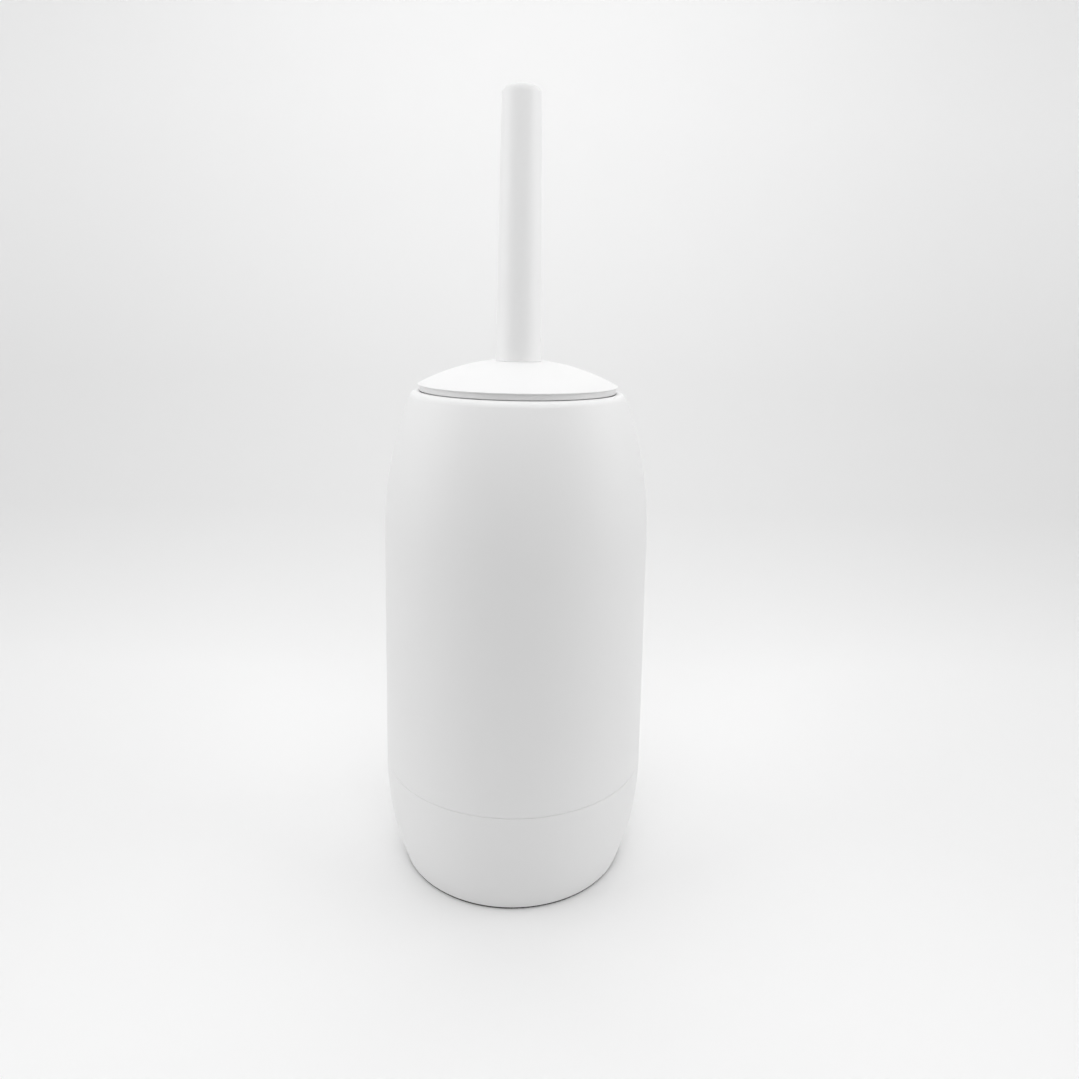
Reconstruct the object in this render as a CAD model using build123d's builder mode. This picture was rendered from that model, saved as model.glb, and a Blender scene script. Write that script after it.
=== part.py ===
from build123d import *
import os
from math import atan2, cos, sin

# Toilet brush in a barrel-shaped holder, in millimetres.
# The origin is the centre of the base on the floor, with +Z up.
# Every piece is a body of revolution about the Z axis unless a comment says otherwise.

os.makedirs("parts", exist_ok=True)

# ---- driving dimensions -------------------------------------------------------------------

WALL = 2.6  # moulded wall of the holder

# holder: silhouette from the floor to the mouth
BODY_R = 66.0  # widest radius, where the two mouldings part
PART_Z = 56.0  # height of the parting plane
BASE_R = 57.5  # radius of the base at its lower edge
BASE_Z = 1.1  # height of the base's lower edge, carried by the foot ring
BARREL_R = 63.6  # radius at the top of the nearly straight barrel
BARREL_Z = 174.0
LIP_CROWN_R = 46.9  # radius of the lip's highest circle
LIP_CROWN_Z = 241.6
LIP_OUT_ROUND = 4.0  # the lip rolls over with this radius on the outside
EDGE_R = 0.4  # broken edges either side of the parting plane

# mouth: a rolled lip whose inner leg ends in the ledge that the lid stands on
LEG_R = 44.95
LEG_WALL = 2.2
LEDGE_R = 42.3
LEDGE_TOP = 232.2
LEDGE_WALL = 2.2
CROOK_Z = 236.2  # the wall and the leg join above this height

# lap joint: the shell's tongue stands inside the cup, so that drips stay in
TONGUE_R = 64.5
TONGUE_END = 48.0
TONGUE_GAP = 0.1

# base floor and its anti-slip ring
FLOOR_TOP = 6.0
FLOOR_CORNER_R = 7.0
RECESS_R = 47.5
RECESS_TOP = 2.8
RING_IN = 49.6
RING_OUT = 53.4
RING_FLANGE_R = 57.0  # the ring's foot spreads under the cup almost to its edge
RING_SIDE_GAP = 0.15
RING_EDGE_R = 0.3

# lid: a domed disc with a skirt inside the mouth and a hub on the stem
LID_R = 46.7
LID_UNDER = 244.3
LID_EDGE = 0.4
LID_EDGE_ROUND = 0.18
LID_RISE = 11.7  # from the top of the edge to the crown that the flat land cuts off
LID_WALL = 2.0
LID_FLAT_Z = 255.35  # height of the flat land around the handle
SKIRT_R = 43.9
SKIRT_WALL = 1.9
BAND_R = 45.9  # thicker band around the skirt, just over the lip
BAND_BOTTOM = 241.75
BAND_ROUND = 0.25
HUB_R = 10.2
HUB_BOTTOM = 238.0

# stem, its stud and the collar that keeps the lid on it
STEM_R = 6.0
STEM_RUN = 0.08  # running clearance of the stem in the lid's bore
STEM_TOP = 255.9
STUD_R = 4.0
STUD_TOP = 275.0
STUD_GAP = 0.05
COLLAR_TOP = 237.8
COLLAR_H = 2.2
COLLAR_R = 9.4
COLLAR_GROOVE_R = 5.2
COLLAR_MOUTH = 9.0  # width of the collar's open side
COLLAR_END_R = 0.8

# handle: a slim hollow cone with a closed, rounded top
HANDLE_R = 10.5
HANDLE_TOP_R = 8.6
HANDLE_BOTTOM = 255.4
HANDLE_TOP = 370.0
HANDLE_WALL = 2.2
HANDLE_CROWN_R = 3.4
HANDLE_FOOT_R = 0.1
INSERT_TOP = 280.0
INSERT_GAP = 0.05

# brush head
CORE_R = 9.5
CORE_BOTTOM = 24.0
CORE_TOP = 90.0
CORE_NOSE_R = 5.0
CORE_PIN_R = 5.0
CORE_SOCKET_BOTTOM = 62.0
CORE_NECK_R = 7.4
CORE_NECK_H = 5.0
SOCKET_GAP = 0.05
BRISTLE_R = 38.0
BRISTLE_BOTTOM = 14.0
BRISTLE_TOP = 92.0
BRISTLE_TOP_R = 31.0
BRISTLE_NOSE_H = 22.0  # the rounded lower end
BRISTLE_NECK_H = 16.0  # the narrowing upper end
BRISTLE_GAP = 0.05

# ---- worked out from them -----------------------------------------------------------------

BARREL_LEAN = atan2(BODY_R - BARREL_R, BARREL_Z - PART_Z)
UP_THE_BARREL = (-sin(BARREL_LEAN), cos(BARREL_LEAN))
DOWN_THE_BARREL = (sin(BARREL_LEAN), -cos(BARREL_LEAN))
SHELL_IN_R = BODY_R - WALL / cos(BARREL_LEAN)  # inner radius of the shell at the parting plane
LID_EDGE_TOP = LID_UNDER + LID_EDGE
DOME_R = (LID_R**2 + LID_RISE**2) / (2 * LID_RISE)
DOME_CENTRE_Z = LID_EDGE_TOP + LID_RISE - DOME_R
LID_FLAT_R = (DOME_R**2 - (LID_FLAT_Z - DOME_CENTRE_Z) ** 2) ** 0.5
HANDLE_IN_R = HANDLE_R - HANDLE_WALL
HANDLE_LEAN = (HANDLE_R - HANDLE_TOP_R) / (HANDLE_TOP - HANDLE_BOTTOM)

# The shoulder is the one arc that leaves the barrel smoothly and meets the lip's outer round
# smoothly too. Its radius follows from the places of the barrel's top and the round's centre.
barrel_top = Vector(BARREL_R, BARREL_Z)
lip_centre = Vector(LIP_CROWN_R, LIP_CROWN_Z - LIP_OUT_ROUND)
inward = Vector(-cos(BARREL_LEAN), -sin(BARREL_LEAN))
reach = lip_centre - barrel_top
SHOULDER_ARC_R = (reach.dot(reach) - LIP_OUT_ROUND**2) / (2 * (reach.dot(inward) - LIP_OUT_ROUND))
shoulder_centre = barrel_top + inward * SHOULDER_ARC_R
shoulder_end = shoulder_centre + (lip_centre - shoulder_centre).normalized() * SHOULDER_ARC_R
SHOULDER_END = (shoulder_end.X, shoulder_end.Y)

# The two arcs of the silhouette, as (radius, height). Both run on smoothly from the barrel.
base_arc = TangentArc((BODY_R, PART_Z), (BASE_R, BASE_Z), tangent=DOWN_THE_BARREL)
shoulder_arc = TangentArc((BARREL_R, BARREL_Z), SHOULDER_END, tangent=UP_THE_BARREL)


def wall_radius(arc, inset, height):
    """Radius at this height of a wall that lies inset inside an arc of the silhouette."""
    centre = arc.arc_center
    return centre.X + ((arc.radius - inset) ** 2 - (height - centre.Y) ** 2) ** 0.5


def dome_height(radius, inset=0.0):
    """Height of the lid's dome at this radius, or of the surface inset below it."""
    return DOME_CENTRE_Z + ((DOME_R - inset) ** 2 - radius**2) ** 0.5


def corners(*places):
    """The corners of the sketch in hand that are nearest to these (radius, height) places."""
    section = BuildSketch._get_context().sketch_local.vertices()
    return [section.sort_by_distance(place)[0] for place in places]


# ---- base body ----------------------------------------------------------------------------

# Lower part of the barrel: a cup whose floor stands clear of the ground on a soft ring.
with BuildPart() as base_cup:
    with BuildSketch(Plane.XZ):
        with BuildLine():
            floor_r = wall_radius(base_arc, WALL, FLOOR_TOP)
            rabbet_r = TONGUE_R + TONGUE_GAP
            rabbet_z = TONGUE_END - TONGUE_GAP
            step_r = wall_radius(base_arc, WALL, rabbet_z)
            TangentArc((BODY_R, PART_Z), (BASE_R, BASE_Z), tangent=DOWN_THE_BARREL)
            Polyline(
                (BASE_R, BASE_Z),
                (RING_OUT + RING_SIDE_GAP, BASE_Z),
                (RING_OUT + RING_SIDE_GAP, RECESS_TOP),
                (RING_IN - RING_SIDE_GAP, RECESS_TOP),
                (RING_IN - RING_SIDE_GAP, BASE_Z),
                (RECESS_R, BASE_Z),
                (RECESS_R, RECESS_TOP),
                (0, RECESS_TOP),
                (0, FLOOR_TOP),
                (floor_r, FLOOR_TOP),
            )
            RadiusArc((floor_r, FLOOR_TOP), (step_r, rabbet_z), base_arc.radius - WALL)
            Polyline((step_r, rabbet_z), (rabbet_r, rabbet_z), (rabbet_r, PART_Z), (BODY_R, PART_Z))
        make_face()
        fillet(corners((floor_r, FLOOR_TOP)), FLOOR_CORNER_R)
        fillet(corners((BODY_R, PART_Z), (rabbet_r, PART_Z)), EDGE_R)
        fillet(corners((BASE_R, BASE_Z)), EDGE_R)
    revolve(axis=Axis.Z)
base_cup.part.label = "base_cup"
export_step(base_cup.part, "parts/base_cup.step")

# Anti-slip ring, pressed into the groove under the cup, with a flange that stands on the ground.
with BuildPart() as foot_ring:
    with BuildSketch(Plane.XZ):
        with BuildLine():
            Polyline(
                (RING_IN, 0),
                (RING_FLANGE_R, 0),
                (RING_FLANGE_R, BASE_Z),
                (RING_OUT, BASE_Z),
                (RING_OUT, RECESS_TOP),
                (RING_IN, RECESS_TOP),
                close=True,
            )
        make_face()
        fillet(corners((RING_IN, 0), (RING_FLANGE_R, 0)), RING_EDGE_R)
    revolve(axis=Axis.Z)
foot_ring.part.label = "foot_ring"
export_step(foot_ring.part, "parts/foot_ring.step")

# ---- shell body ---------------------------------------------------------------------------

# Upper part of the barrel, open at both ends: tongue, barrel, shoulder and rolled lip.
with BuildPart() as body_shell:
    with BuildSketch(Plane.XZ):
        with BuildLine():
            barrel_in_r = BARREL_R - WALL / cos(BARREL_LEAN)
            crook_r = wall_radius(shoulder_arc, WALL, CROOK_Z)
            leg_out_r = LEG_R + LEG_WALL
            lip_crown = (LIP_CROWN_R, LIP_CROWN_Z)
            lip_in = (LEG_R, LIP_CROWN_Z - (LIP_CROWN_R - LEG_R))
            Line((BODY_R, PART_Z), (BARREL_R, BARREL_Z))
            TangentArc((BARREL_R, BARREL_Z), SHOULDER_END, tangent=UP_THE_BARREL)
            TangentArc(lip_crown, SHOULDER_END, tangent=(1, 0))
            TangentArc(lip_crown, lip_in, tangent=(-1, 0))
            Polyline(
                lip_in,
                (LEG_R, LEDGE_TOP),
                (LEDGE_R, LEDGE_TOP),
                (LEDGE_R, LEDGE_TOP - LEDGE_WALL),
                (leg_out_r, LEDGE_TOP - LEDGE_WALL),
                (leg_out_r, CROOK_Z),
                (crook_r, CROOK_Z),
            )
            RadiusArc((crook_r, CROOK_Z), (barrel_in_r, BARREL_Z), shoulder_arc.radius - WALL)
            Polyline(
                (barrel_in_r, BARREL_Z),
                (SHELL_IN_R, PART_Z),
                (SHELL_IN_R, TONGUE_END),
                (TONGUE_R, TONGUE_END),
                (TONGUE_R, PART_Z),
                (BODY_R, PART_Z),
            )
        make_face()
        fillet(corners((BODY_R, PART_Z)), EDGE_R)
        fillet(corners((SHELL_IN_R, TONGUE_END), (TONGUE_R, TONGUE_END)), EDGE_R)
        fillet(corners((LEDGE_R, LEDGE_TOP - LEDGE_WALL), (LEDGE_R, LEDGE_TOP)), EDGE_R)
        fillet(corners((leg_out_r, LEDGE_TOP - LEDGE_WALL)), LEDGE_WALL / 2)
    revolve(axis=Axis.Z)
body_shell.part.label = "body_shell"
export_step(body_shell.part, "parts/body_shell.step")

# ---- lid body -----------------------------------------------------------------------------

# Domed disc. Its skirt stands on the ledge, which leaves a shadow gap over the mouth's lip.
with BuildPart() as lid:
    with BuildSketch(Plane.XZ):
        with BuildLine():
            bore_r = STEM_R + STEM_RUN
            skirt_in_r = SKIRT_R - SKIRT_WALL
            flat_edge = (LID_FLAT_R, LID_FLAT_Z)
            inner_edge = (skirt_in_r, dome_height(skirt_in_r, LID_WALL))
            hub_edge = (HUB_R, dome_height(HUB_R, LID_WALL))
            Line((bore_r, LID_FLAT_Z), flat_edge)
            RadiusArc(flat_edge, (LID_R, LID_EDGE_TOP), DOME_R)
            Polyline(
                (LID_R, LID_EDGE_TOP),
                (LID_R, LID_UNDER),
                (BAND_R, LID_UNDER),
                (BAND_R, BAND_BOTTOM),
                (SKIRT_R, BAND_BOTTOM),
                (SKIRT_R, LEDGE_TOP),
                (skirt_in_r, LEDGE_TOP),
                inner_edge,
            )
            RadiusArc(inner_edge, hub_edge, -(DOME_R - LID_WALL))
            Polyline(hub_edge, (HUB_R, HUB_BOTTOM), (bore_r, HUB_BOTTOM), (bore_r, LID_FLAT_Z))
        make_face()
        fillet(corners((LID_R, LID_EDGE_TOP), (LID_R, LID_UNDER)), LID_EDGE_ROUND)
        fillet(corners((BAND_R, LID_UNDER), (BAND_R, BAND_BOTTOM)), BAND_ROUND)
        fillet(corners((SKIRT_R, LEDGE_TOP), (skirt_in_r, LEDGE_TOP)), EDGE_R)
        fillet(corners(hub_edge, inner_edge), 1.5)
    revolve(axis=Axis.Z)
lid.part.label = "lid"
export_step(lid.part, "parts/lid.step")

# ---- brush body ---------------------------------------------------------------------------

# Handle: a slim hollow cone, closed at the top, that stands on the lid's flat land.
with BuildPart() as handle:
    with BuildSketch(Plane.XZ):
        with BuildLine():
            crown_z = HANDLE_TOP - HANDLE_WALL
            Polyline(
                (HANDLE_IN_R, HANDLE_BOTTOM),
                (HANDLE_R, HANDLE_BOTTOM),
                (HANDLE_TOP_R, HANDLE_TOP),
                (0, HANDLE_TOP),
                (0, crown_z),
                (HANDLE_TOP_R - HANDLE_WALL, crown_z),
                close=True,
            )
        make_face()
        fillet(corners((HANDLE_TOP_R, HANDLE_TOP)), HANDLE_CROWN_R)
        fillet(corners((HANDLE_TOP_R - HANDLE_WALL, crown_z)), HANDLE_CROWN_R - HANDLE_WALL)
        fillet(corners((HANDLE_R, HANDLE_BOTTOM)), HANDLE_FOOT_R)
    revolve(axis=Axis.Z)
handle.part.label = "handle"
export_step(handle.part, "parts/handle.step")

# Insert glued into the handle's lower end, which the stem's stud screws into.
with BuildPart() as handle_insert:
    with BuildSketch(Plane.XZ):
        with BuildLine():
            insert_r = HANDLE_IN_R - INSERT_GAP
            insert_top_r = insert_r - (INSERT_TOP - HANDLE_BOTTOM) * HANDLE_LEAN
            Polyline(
                (STUD_R + STUD_GAP, STEM_TOP),
                (insert_r - (STEM_TOP - HANDLE_BOTTOM) * HANDLE_LEAN, STEM_TOP),
                (insert_top_r, INSERT_TOP),
                (STUD_R + STUD_GAP, INSERT_TOP),
                close=True,
            )
        make_face()
    revolve(axis=Axis.Z)
    chamfer(handle_insert.edges().group_by(Axis.Z)[-1], STUD_R / 8)
handle_insert.part.label = "handle_insert"
export_step(handle_insert.part, "parts/handle_insert.step")

# Stem: stud, running length through the lid, groove for the collar, and a pin in the core.
with BuildPart() as stem:
    with BuildSketch(Plane.XZ):
        with BuildLine():
            Polyline(
                (0, CORE_SOCKET_BOTTOM),
                (CORE_PIN_R, CORE_SOCKET_BOTTOM),
                (CORE_PIN_R, CORE_TOP),
                (STEM_R, CORE_TOP),
                (STEM_R, COLLAR_TOP - COLLAR_H),
                (COLLAR_GROOVE_R, COLLAR_TOP - COLLAR_H),
                (COLLAR_GROOVE_R, COLLAR_TOP),
                (STEM_R, COLLAR_TOP),
                (STEM_R, STEM_TOP),
                (STUD_R, STEM_TOP),
                (STUD_R, STUD_TOP),
                (0, STUD_TOP),
                close=True,
            )
        make_face()
        chamfer(corners((STUD_R, STUD_TOP), (CORE_PIN_R, CORE_SOCKET_BOTTOM)), STUD_R / 5)
    revolve(axis=Axis.Z)
stem.part.label = "stem"
export_step(stem.part, "parts/stem.step")

# Snap-on collar in the stem's groove, open on one side, that keeps the lid on the stem.
with BuildPart() as stem_collar:
    with BuildSketch(Plane.XY.offset(COLLAR_TOP - COLLAR_H)):
        Circle(COLLAR_R)
        Circle(COLLAR_GROOVE_R + STUD_GAP, mode=Mode.SUBTRACT)
        with Locations((COLLAR_R, 0)):
            Rectangle(2 * COLLAR_R, COLLAR_MOUTH, mode=Mode.SUBTRACT)
        mouth_corner = (COLLAR_R, COLLAR_MOUTH / 2)
        fillet(corners(mouth_corner, (COLLAR_R, -COLLAR_MOUTH / 2)), COLLAR_END_R)
    extrude(amount=COLLAR_H)
stem_collar.part.label = "stem_collar"
export_step(stem_collar.part, "parts/stem_collar.step")

# Core that holds the bristles, with a blind socket for the stem's pin.
with BuildPart() as brush_core:
    with BuildSketch(Plane.XZ):
        with BuildLine():
            socket_r = CORE_PIN_R + SOCKET_GAP
            Polyline(
                (0, CORE_BOTTOM),
                (CORE_R, CORE_BOTTOM),
                (CORE_R, CORE_TOP - CORE_NECK_H),
                (CORE_NECK_R, CORE_TOP),
                (socket_r, CORE_TOP),
                (socket_r, CORE_SOCKET_BOTTOM),
                (0, CORE_SOCKET_BOTTOM),
                close=True,
            )
        make_face()
        fillet(corners((CORE_R, CORE_BOTTOM)), CORE_NOSE_R)
    revolve(axis=Axis.Z)
brush_core.part.label = "brush_core"
export_step(brush_core.part, "parts/brush_core.step")

# The space that the bristles fill, from the core out to their tips.
with BuildPart() as bristles:
    with BuildSketch(Plane.XZ):
        with BuildLine():
            root_r = CORE_R + BRISTLE_GAP
            nose = (0, BRISTLE_BOTTOM)
            widest_low = (BRISTLE_R, BRISTLE_BOTTOM + BRISTLE_NOSE_H)
            widest_high = (BRISTLE_R, BRISTLE_TOP - BRISTLE_NECK_H)
            tips_top = (BRISTLE_TOP_R, BRISTLE_TOP)
            root_top = (root_r, CORE_TOP - CORE_NECK_H)
            EllipticalCenterArc(
                (0, widest_low[1]), BRISTLE_R, BRISTLE_NOSE_H, start_angle=270, arc_size=90
            )
            Line(widest_low, widest_high)
            TangentArc(widest_high, tips_top, tangent=(0, 1))
            Polyline(tips_top, root_top, (root_r, CORE_BOTTOM - BRISTLE_GAP))
            Polyline((root_r, CORE_BOTTOM - BRISTLE_GAP), (0, CORE_BOTTOM - BRISTLE_GAP), nose)
        make_face()
    revolve(axis=Axis.Z)
bristles.part.label = "bristles"
export_step(bristles.part, "parts/bristles.step")
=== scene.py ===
"""Looks of the toilet brush holder: materials, bristle tufts, studio and camera.

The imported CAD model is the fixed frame. Its pieces keep their shapes and get finished
materials here; the plain solid of the bristles is replaced by real tufts.
All lengths are in metres, angles in degrees where a name says so.
"""

import math
import random

import bpy
import numpy as np
from mathutils import Matrix, Vector


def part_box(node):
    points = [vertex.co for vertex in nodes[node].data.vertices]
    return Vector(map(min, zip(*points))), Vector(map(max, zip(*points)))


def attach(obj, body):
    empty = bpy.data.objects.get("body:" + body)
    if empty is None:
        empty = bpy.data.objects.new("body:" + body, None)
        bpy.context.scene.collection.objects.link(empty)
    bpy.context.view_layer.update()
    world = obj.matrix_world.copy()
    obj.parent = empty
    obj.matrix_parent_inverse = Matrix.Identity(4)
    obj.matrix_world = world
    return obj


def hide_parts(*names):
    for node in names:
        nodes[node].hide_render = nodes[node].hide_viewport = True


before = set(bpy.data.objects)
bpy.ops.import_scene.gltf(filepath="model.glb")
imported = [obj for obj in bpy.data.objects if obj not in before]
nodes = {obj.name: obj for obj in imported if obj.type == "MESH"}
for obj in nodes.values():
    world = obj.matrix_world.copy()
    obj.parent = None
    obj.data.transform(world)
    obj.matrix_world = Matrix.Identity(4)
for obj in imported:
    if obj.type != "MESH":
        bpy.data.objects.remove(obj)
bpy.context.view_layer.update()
scene = bpy.context.scene
scene.view_settings.view_transform = "Standard"
scene.view_settings.look = "None"

MM = 0.001


# ---- node helpers -------------------------------------------------------------------------

NOISE_LOW, NOISE_HIGH = 0.3, 0.7  # nearly all of a noise's values lie between these


def new_material(name):
    """A material with nodes. Returns it, its node tree and its Principled shader."""
    material = bpy.data.materials.new(name)
    material.use_nodes = True
    tree = material.node_tree
    return material, tree, tree.nodes["Principled BSDF"]


def add(tree, kind, **inputs):
    """Adds a node and sets its inputs by name, with _ for spaces."""
    node = tree.nodes.new(kind)
    for name, value in inputs.items():
        node.inputs[name.replace("_", " ")].default_value = value
    return node


def noise(tree, coordinates, scale, detail=2.0, roughness=0.5):
    """Noise of this many features per metre, read in object space."""
    node = add(tree, "ShaderNodeTexNoise", Scale=scale, Detail=detail, Roughness=roughness)
    tree.links.new(coordinates.outputs["Object"], node.inputs["Vector"])
    return node.outputs["Fac"]


def mapped(tree, source, low, high):
    """Spreads the middle of a noise over the range low to high."""
    node = add(
        tree, "ShaderNodeMapRange", From_Min=NOISE_LOW, From_Max=NOISE_HIGH, To_Min=low, To_Max=high
    )
    tree.links.new(source, node.inputs["Value"])
    return node.outputs["Result"]


# ---- materials ----------------------------------------------------------------------------

GRAIN_PER_METRE = 2600.0  # fine grain of the spark-eroded mould
GRAIN_STRENGTH, GRAIN_DEPTH = 0.6, 0.04 * MM
FLOW_PER_METRE = 38.0  # faint mottle from the flow of the plastic
FLOW_STRENGTH, FLOW_DEPTH = 0.2, 0.2 * MM
PATCHES_PER_METRE = 9.0  # wide patches in which the tone drifts
TONE_SPREAD = 0.006
ROUGHNESS_SPREAD = 0.03
PLASTIC_IOR = 1.49

NYLON_TONES = (0.84, 0.90, 0.95)
NYLON_BLUE = 0.99  # share of blue left in the milky tone
NYLON_ROUGHNESS = 0.34
NYLON_IOR = 1.53


def moulded_plastic(name, tone, roughness, warm=0.0):
    """Matt moulded plastic: a fine grain over a faint flow mottle, warm is the blue taken out."""
    material, tree, shader = new_material(name)
    where = tree.nodes.new("ShaderNodeTexCoord")
    grain = noise(tree, where, GRAIN_PER_METRE, 3.0, 0.6)
    flow = noise(tree, where, FLOW_PER_METRE, 3.0)
    patches = noise(tree, where, PATCHES_PER_METRE)

    shade = tree.nodes.new("ShaderNodeMix")
    shade.data_type = "RGBA"
    for socket, level in (("A", tone - TONE_SPREAD), ("B", tone + TONE_SPREAD)):
        shade.inputs[socket].default_value = (level, level, level * (1 - warm), 1)
    tree.links.new(mapped(tree, patches, 0.0, 1.0), shade.inputs["Factor"])
    tree.links.new(shade.outputs["Result"], shader.inputs["Base Color"])

    rough = mapped(tree, flow, roughness - ROUGHNESS_SPREAD, roughness + ROUGHNESS_SPREAD)
    tree.links.new(rough, shader.inputs["Roughness"])

    fine = add(tree, "ShaderNodeBump", Strength=GRAIN_STRENGTH, Distance=GRAIN_DEPTH)
    soft = add(tree, "ShaderNodeBump", Strength=FLOW_STRENGTH, Distance=FLOW_DEPTH)
    tree.links.new(grain, fine.inputs["Height"])
    tree.links.new(flow, soft.inputs["Height"])
    tree.links.new(fine.outputs["Normal"], soft.inputs["Normal"])
    tree.links.new(soft.outputs["Normal"], shader.inputs["Normal"])
    shader.inputs["IOR"].default_value = PLASTIC_IOR
    return material


def nylon(name, tone):
    """Milky nylon of one tone. The filaments themselves are the detail, so nothing varies."""
    material, _, shader = new_material(name)
    shader.inputs["Base Color"].default_value = (tone, tone, tone * NYLON_BLUE, 1)
    shader.inputs["Roughness"].default_value = NYLON_ROUGHNESS
    shader.inputs["IOR"].default_value = NYLON_IOR
    return material


def dress(node, material):
    """Gives every material slot of a CAD node this material."""
    mesh = nodes[node].data
    if not mesh.materials:
        mesh.materials.append(material)
    for i in range(len(mesh.materials)):
        mesh.materials[i] = material


shell_white = moulded_plastic("shell_white", 0.80, 0.52)
lid_white = moulded_plastic("lid_white", 0.80, 0.50)
handle_white = moulded_plastic("handle_white", 0.90, 0.50)
core_white = moulded_plastic("core_white", 0.74, 0.45, warm=0.01)
# Black rubber of the foot ring, its tone made this near-black also as painted shade: it darkens the
# thin line under the base's edge where the contact shadow falls.
ring_rubber_and_painted_shade = moulded_plastic("ring_rubber_and_painted_shade", 0.035, 0.80)
nylons = [nylon(f"bristle_nylon_{i}", tone) for i, tone in enumerate(NYLON_TONES)]

dress("body_shell", shell_white)
dress("base_cup", shell_white)
dress("lid", lid_white)
dress("handle", handle_white)
for hidden in ("handle_insert", "stem", "stem_collar", "brush_core"):
    dress(hidden, core_white)
dress("foot_ring", ring_rubber_and_painted_shade)


# ---- bristle tufts ------------------------------------------------------------------------
# Fans of nylon filaments from holes in the core to the outline of the packed bristle solid.

TUFT_ROWS = 12
TUFTS_PER_ROW = 12
ROW_LOW, ROW_HIGH = 27.5 * MM, 83.0 * MM  # heights of the lowest and highest row of holes
REACH_LOW, REACH_HIGH = 25.0 * MM, 89.5 * MM  # heights that those rows' middles reach
NOSE_RINGS = ((0.0, 1), (20.0, 5), (40.0, 9), (60.0, 12))  # degrees from straight down, tufts
NOSE_RING_TURN = 0.25  # of a step between tufts, so that the rings don't line up with the rows

FILAMENTS = 32  # in each tuft
FILAMENT_R = 0.22 * MM
FILAMENT_TIP_R = 0.13 * MM
FILAMENT_STEPS = 5  # rings of points along a filament
FILAMENT_SIDES = 4  # also the corners of every face, walls and end caps alike
STEEP_TANGENT = 0.8  # above this rise a filament's sides are measured from X instead of Z

HOLE_R = 1.25 * MM
FAN_AROUND = 10.5 * MM  # half-width of a tuft at its tips, around the brush
FAN_ALONG = 4.8 * MM  # and along it
FAN_NOSE = 6.5 * MM  # in place of FAN_AROUND on the nose
UPRIGHT_AXIS = 0.2  # below this sideways part a tuft counts as pointing straight down
GOLDEN_ANGLE = math.pi * (3 - math.sqrt(5))

TUFT_STRAY = 0.9 * MM  # typical error of a whole tuft at its tips
TIP_STRAY = 0.7 * MM  # and of each filament in it
TRIM_STRAY = 0.012  # typical shortfall of a filament, as a share of the outline
BOW = 0.035  # typical sideways bend, as a share of a filament's length
TUFT_SEED = 7

CORE_R = 9.3 * MM  # just under the surface of the core
CORE_NOSE_CENTRE = 29.0 * MM
CORE_NOSE_HEIGHT = 4.6 * MM
CORE_NOSE_R = 0.72 * CORE_R
NOSE_HEIGHT = 22.0 * MM
NECK_HEIGHT = 16.0 * MM
NECK_R = 31.0 * MM
TIPS_SHARE = 0.995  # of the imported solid's radius, so that the thickness of the tips stays inside
NOSE_MARGIN = 0.2 * MM
NECK_MARGIN = 0.4 * MM

bristle_low, bristle_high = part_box("bristles")
TIPS_R = bristle_high[0] * TIPS_SHARE
TIPS_LOW, TIPS_HIGH = bristle_low[2], bristle_high[2]
NOSE_CENTRE = TIPS_LOW + NOSE_HEIGHT
NECK_START = TIPS_HIGH - NECK_HEIGHT
NECK_STEP = TIPS_R - NECK_R
NECK_BEND_R = (NECK_HEIGHT**2 + NECK_STEP**2) / (2 * NECK_STEP)


def pulled_to_outline(point, trim):
    """The point moved onto the outline of the brush head, then drawn in by the factor trim."""
    r = max(math.hypot(point.x, point.y), 1e-6)
    z = min(point.z, TIPS_HIGH - NECK_MARGIN)
    if z < NOSE_CENTRE:
        k = trim / math.hypot(r / TIPS_R, (z - NOSE_CENTRE) / (NOSE_HEIGHT - NOSE_MARGIN))
        return Vector((point.x * k, point.y * k, NOSE_CENTRE + (z - NOSE_CENTRE) * k))
    outline = TIPS_R
    if z > NECK_START:
        outline = TIPS_R - NECK_BEND_R + math.sqrt(NECK_BEND_R**2 - (z - NECK_START) ** 2)
    k = trim * outline / r
    return Vector((point.x * k, point.y * k, z))


def row_tufts():
    """Root, tip and fan of each tuft on the core's side, every other row staggered."""
    for row in range(TUFT_ROWS):
        share = row / (TUFT_ROWS - 1)
        root_z = ROW_LOW + (ROW_HIGH - ROW_LOW) * share
        tip_z = REACH_LOW + (REACH_HIGH - REACH_LOW) * share
        stagger = 0.5 * (row % 2)
        for i in range(TUFTS_PER_ROW):
            a = math.tau * (i + stagger) / TUFTS_PER_ROW
            out = Vector((math.cos(a), math.sin(a), 0))
            root = out * CORE_R + Vector((0, 0, root_z))
            tip = out * TIPS_R + Vector((0, 0, tip_z))
            yield root, pulled_to_outline(tip, 1.0), FAN_AROUND


def nose_tufts():
    """Root, tip and fan of each tuft on the core's rounded lower end."""
    for tilt_deg, count in NOSE_RINGS:
        tilt = math.radians(tilt_deg)
        root_z = CORE_NOSE_CENTRE - CORE_NOSE_HEIGHT * math.cos(tilt)
        for i in range(count):
            a = math.tau * (i + NOSE_RING_TURN) / count
            aim = Vector((math.sin(tilt) * math.cos(a), math.sin(tilt) * math.sin(a), -math.cos(tilt)))
            root = Vector((aim.x * CORE_NOSE_R, aim.y * CORE_NOSE_R, root_z))
            tip = Vector((0, 0, NOSE_CENTRE)) + aim * TIPS_R
            yield root, pulled_to_outline(tip, 1.0), FAN_NOSE


def stray(rng, size):
    """A random vector whose parts are typically this size."""
    return Vector([rng.gauss(0, size) for _ in range(3)])


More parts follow.
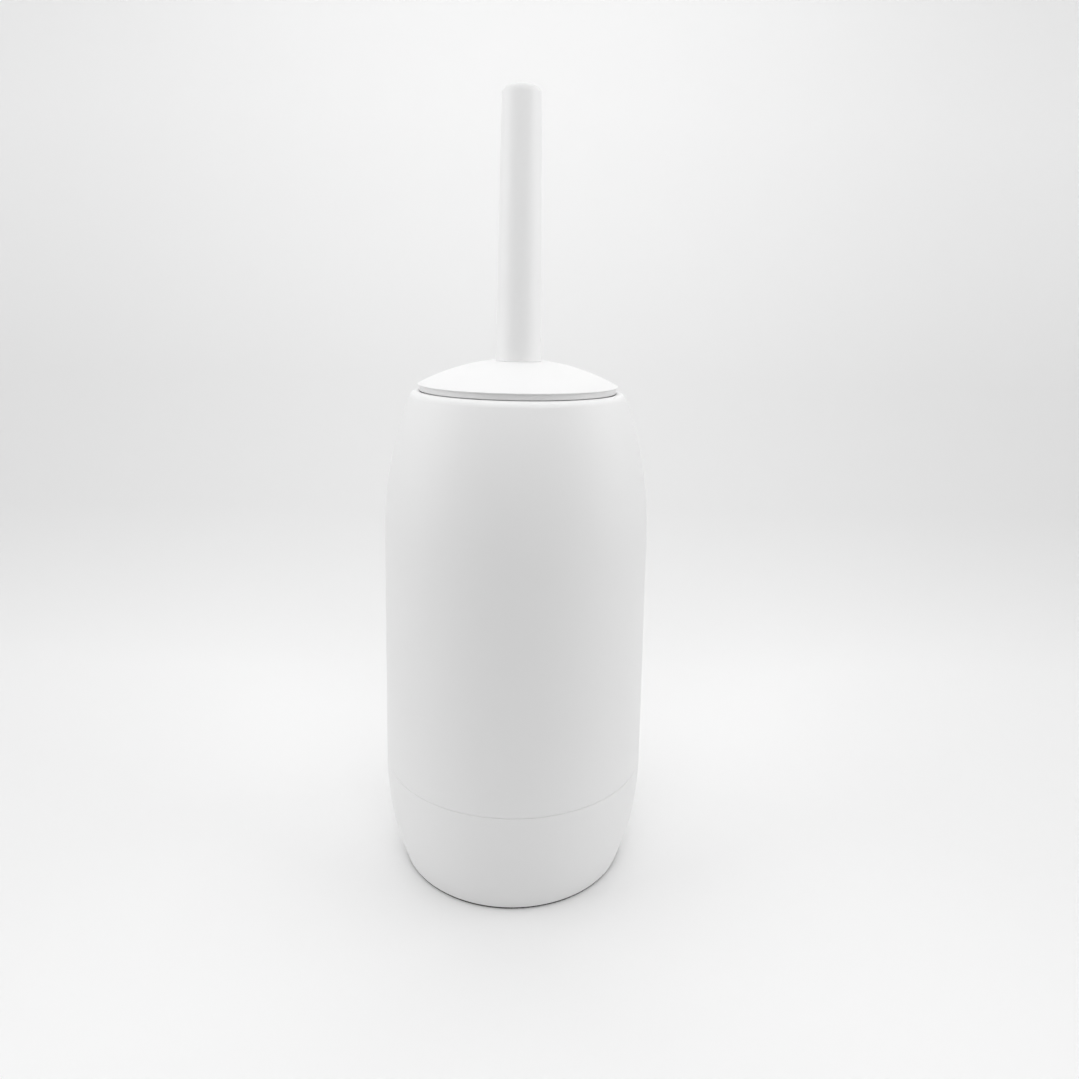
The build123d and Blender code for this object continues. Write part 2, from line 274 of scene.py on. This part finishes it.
def filament_curves(rng):
    """Start, middle and end of all filaments: each leaves its hole along the tuft, then fans out."""
    curves = []
    for root, tip, fan in [*row_tufts(), *nose_tufts()]:
        axis = (tip - root).normalized()
        around = axis.cross(Vector((0, 0, 1)))
        around = around.normalized() if around.length > UPRIGHT_AXIS else Vector((1, 0, 0))
        along = around.cross(axis)
        turn = rng.uniform(0, math.tau)
        tuft_tip = tip + stray(rng, TUFT_STRAY)
        for k in range(FILAMENTS):
            spread = math.sqrt((k + 0.5) / FILAMENTS)
            a = turn + GOLDEN_ANGLE * k
            u, v = spread * math.cos(a), spread * math.sin(a)
            start = root + (around * u + along * v) * HOLE_R
            end = tuft_tip + around * (u * fan) + along * (v * FAN_ALONG) + stray(rng, TIP_STRAY)
            end = pulled_to_outline(end, 1.0 - abs(rng.gauss(0, TRIM_STRAY)))
            reach = (end - start).length
            middle = start + axis * (0.5 * reach) + stray(rng, BOW) * reach
            curves.append((start, middle, end))
    return curves


def filament_mesh(curves, tone_of_each):
    """Closed, tapered tubes along quadratic curves, as one mesh."""
    start, middle, end = (np.array([list(c[i]) for c in curves]) for i in range(3))
    s = np.linspace(0, 1, FILAMENT_STEPS)[None, :, None]
    line = (1 - s) ** 2 * start[:, None] + 2 * s * (1 - s) * middle[:, None] + s**2 * end[:, None]
    tangent = np.gradient(line, axis=1)
    tangent /= np.linalg.norm(tangent, axis=2, keepdims=True)
    steep = np.abs(tangent[..., 2:3]) > STEEP_TANGENT
    side = np.cross(tangent, np.where(steep, [[[1.0, 0, 0]]], [[[0, 0, 1.0]]]))
    side /= np.linalg.norm(side, axis=2, keepdims=True)
    other = np.cross(tangent, side)
    radius = FILAMENT_R + (FILAMENT_TIP_R - FILAMENT_R) * s[..., None] ** 2
    a = np.linspace(0, 2 * np.pi, FILAMENT_SIDES, endpoint=False)[None, None, :, None]
    ring = line[:, :, None] + radius * (np.cos(a) * side[:, :, None] + np.sin(a) * other[:, :, None])
    verts = ring.reshape(-1, 3)

    j = np.arange(FILAMENT_SIDES)
    after = (j + 1) % FILAMENT_SIDES
    strip = np.stack([j, after, after + FILAMENT_SIDES, j + FILAMENT_SIDES], axis=1)
    tube = np.concatenate([strip + FILAMENT_SIDES * i for i in range(FILAMENT_STEPS - 1)])
    tip_cap = (FILAMENT_STEPS - 1) * FILAMENT_SIDES + j
    root_cap = j[::-1]
    one = np.concatenate([tube, tip_cap[None], root_cap[None]])
    points_in_one = FILAMENT_SIDES * FILAMENT_STEPS
    first_points = points_in_one * np.arange(len(curves))[:, None, None]
    faces = (one[None] + first_points).reshape(-1, FILAMENT_SIDES)

    mesh = bpy.data.meshes.new("bristle_tufts")
    mesh.from_pydata(verts.tolist(), [], faces.tolist())
    for material in nylons:
        mesh.materials.append(material)
    mesh.polygons.foreach_set("material_index", np.repeat(tone_of_each, len(one)))
    mesh.polygons.foreach_set("use_smooth", [True] * len(faces))
    return mesh


def bristle_tufts():
    """All filaments as one object, each in one of the nylon tones."""
    rng = random.Random(TUFT_SEED)
    curves = filament_curves(rng)
    tone_of_each = [rng.randrange(len(nylons)) for _ in curves]
    return bpy.data.objects.new("bristle_tufts", filament_mesh(curves, tone_of_each))


tufts = bristle_tufts()
scene.collection.objects.link(tufts)
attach(tufts, "brush")
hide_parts("bristles")


# ---- backdrop -----------------------------------------------------------------------------

FLOOR_HALF_WIDTH = 3.0
FLOOR_FRONT = -3.0
SWEEP_START = 0.22
SWEEP_RADIUS = 0.5
SWEEP_STEPS = 40
WALL_TOP = 3.0
PAPER_ROUGHNESS = 0.9
PAPER_SPECULAR = 0.2
PAPER_START, PAPER_END = -1.0, 1.4  # y + z along the paper, between which its painted light and shade changes
# Painted light and shade on the paper: darker towards the front of the floor and in the sweep's bend,
# lighter up the wall, where the lamps light it more.
PAPER_PAINTED_LIGHT_TONES = (
    (-0.70, 0.55),
    (-0.25, 0.875),
    (0.22, 0.87),
    (0.42, 0.82),
    (0.55, 0.79),
    (0.82, 0.82),
    (1.06, 0.90),
    (1.23, 0.95),
)  # y + z and the tone there


def sweep_profile():
    """Floor, quarter-circle sweep and wall, as (y, z) from front to top."""
    points = [(FLOOR_FRONT, 0.0)]
    for i in range(SWEEP_STEPS + 1):
        a = math.pi / 2 * i / SWEEP_STEPS
        points.append((SWEEP_START + SWEEP_RADIUS * math.sin(a), SWEEP_RADIUS * (1 - math.cos(a))))
    points.append((SWEEP_START + SWEEP_RADIUS, WALL_TOP))
    return points


def paper_with_painted_light():
    """Matt studio paper whose tone changes from the front of the floor up to the wall as painted light
    and shade: darker at the front and in the sweep's bend, lighter up the wall.
    """
    material, tree, shader = new_material("paper_with_painted_light")
    where = tree.nodes.new("ShaderNodeTexCoord")
    split = tree.nodes.new("ShaderNodeSeparateXYZ")
    ramp = tree.nodes.new("ShaderNodeValToRGB")
    back_and_up = tree.nodes.new("ShaderNodeMath")
    share = add(tree, "ShaderNodeMapRange", From_Min=PAPER_START, From_Max=PAPER_END)
    tree.links.new(where.outputs["Object"], split.inputs["Vector"])
    tree.links.new(split.outputs["Y"], back_and_up.inputs[0])
    tree.links.new(split.outputs["Z"], back_and_up.inputs[1])
    tree.links.new(back_and_up.outputs["Value"], share.inputs["Value"])
    tree.links.new(share.outputs["Result"], ramp.inputs["Fac"])
    stops = ramp.color_ramp.elements
    while len(stops) < len(PAPER_PAINTED_LIGHT_TONES):
        stops.new(1.0)
    for stop, (place, tone) in zip(stops, PAPER_PAINTED_LIGHT_TONES):
        stop.position = (place - PAPER_START) / (PAPER_END - PAPER_START)
        stop.color = (tone, tone, tone, 1)
    tree.links.new(ramp.outputs["Color"], shader.inputs["Base Color"])
    shader.inputs["Roughness"].default_value = PAPER_ROUGHNESS
    shader.inputs["Specular IOR Level"].default_value = PAPER_SPECULAR
    return material


def backdrop():
    """The paper as one long sheet along the sweep's profile."""
    profile = sweep_profile()
    verts = [(x, y, z) for y, z in profile for x in (-FLOOR_HALF_WIDTH, FLOOR_HALF_WIDTH)]
    faces = [(2 * i, 2 * i + 1, 2 * i + 3, 2 * i + 2) for i in range(len(profile) - 1)]
    mesh = bpy.data.meshes.new("backdrop")
    mesh.from_pydata(verts, [], faces)
    mesh.polygons.foreach_set("use_smooth", [True] * len(faces))
    obj = bpy.data.objects.new("backdrop", mesh)
    scene.collection.objects.link(obj)
    mesh.materials.append(paper_with_painted_light())


backdrop()


# ---- lights -------------------------------------------------------------------------------

HOLDER_MIDDLE = (0.0, 0.0, 0.15)
ABOVE = {"place": (0.0, 0.0, 0.85), "target": (0.0, 0.0, 0.0), "size": (0.6, 0.6)}
SIDE_DISTANCE = 1.9
WORLD_STRENGTH = 0.215


def softbox(name, place, target, size, watts):
    """A rectangular area light at a place, turned to a target, unseen by the camera itself."""
    light = bpy.data.lights.new(name, "AREA")
    light.shape = "RECTANGLE"
    light.size, light.size_y = size
    light.energy = watts
    obj = bpy.data.objects.new(name, light)
    obj.location = place
    aim = Vector(target) - Vector(place)
    obj.rotation_mode = "QUATERNION"
    obj.rotation_quaternion = aim.to_track_quat("-Z", "Y")
    obj.visible_camera = False
    scene.collection.objects.link(obj)
    return obj


def light_link(light, node, state):
    """Makes the light reach only this CAD node (INCLUDE) or all but it (EXCLUDE)."""
    receivers = bpy.data.collections.new(f"{light.name}_receivers")
    receivers.objects.link(nodes[node])
    receivers.collection_objects[0].light_linking.link_state = state
    light.light_linking.receiver_collection = receivers


top = softbox("top", **ABOVE, watts=2.1)
top_handle = softbox("top_handle", **ABOVE, watts=0.8)
light_link(top, "handle", "EXCLUDE")  # the full light would blow out the handle's crown
light_link(top_handle, "handle", "INCLUDE")
softbox("top_front", place=(0.0, -0.55, 0.85), target=HOLDER_MIDDLE, size=(0.7, 0.4), watts=1.4)
softbox("front_high", place=(0.0, -1.1, 0.9), target=HOLDER_MIDDLE, size=(1.2, 0.5), watts=2.4)
softbox("wall", place=(0.0, 0.45, 0.95), target=(0.0, 0.6, 0.3), size=(1.0, 0.3), watts=0.8)
for name, x in (("left", -SIDE_DISTANCE), ("right", SIDE_DISTANCE)):
    softbox(name, place=(x, -0.15, 0.85), target=HOLDER_MIDDLE, size=(1.6, 1.6), watts=15.5)

world = bpy.data.worlds.new("studio")
world.use_nodes = True
world.node_tree.nodes["Background"].inputs["Color"].default_value = (1, 1, 1, 1)
world.node_tree.nodes["Background"].inputs["Strength"].default_value = WORLD_STRENGTH
scene.world = world


# ---- camera -------------------------------------------------------------------------------

CAMERA_DISTANCE = 0.3826  # in front of the holder's axis
CAMERA_HEIGHT = 0.2762
CAMERA_PITCH_DEG = 15.615  # looking down
CAMERA_YAW_DEG = 1.712  # looking towards +X
CAMERA_ROLL_DEG = 1.159
CAMERA_LENS_MM = 26.82
CAMERA_CLIP_START = 0.01
SENSOR_MM = 36.0


def make_camera():
    """The camera of the main view, placed in front of the holder and slightly above its lid."""
    pitch, yaw, roll = map(math.radians, (CAMERA_PITCH_DEG, CAMERA_YAW_DEG, CAMERA_ROLL_DEG))
    ahead = Vector(
        (math.sin(yaw) * math.cos(pitch), math.cos(yaw) * math.cos(pitch), -math.sin(pitch))
    )
    right = Vector((math.cos(yaw), -math.sin(yaw), 0))
    up = right.cross(ahead)
    tilted_right = right * math.cos(roll) + up * math.sin(roll)
    tilted_up = up * math.cos(roll) - right * math.sin(roll)
    data = bpy.data.cameras.new("camera")
    data.sensor_width = SENSOR_MM
    data.lens = CAMERA_LENS_MM
    data.clip_start = CAMERA_CLIP_START
    camera = bpy.data.objects.new("camera", data)
    turn = Matrix((tilted_right, tilted_up, -ahead)).transposed().to_4x4()
    camera.matrix_world = Matrix.Translation((0, -CAMERA_DISTANCE, CAMERA_HEIGHT)) @ turn
    scene.collection.objects.link(camera)
    scene.camera = camera


make_camera()
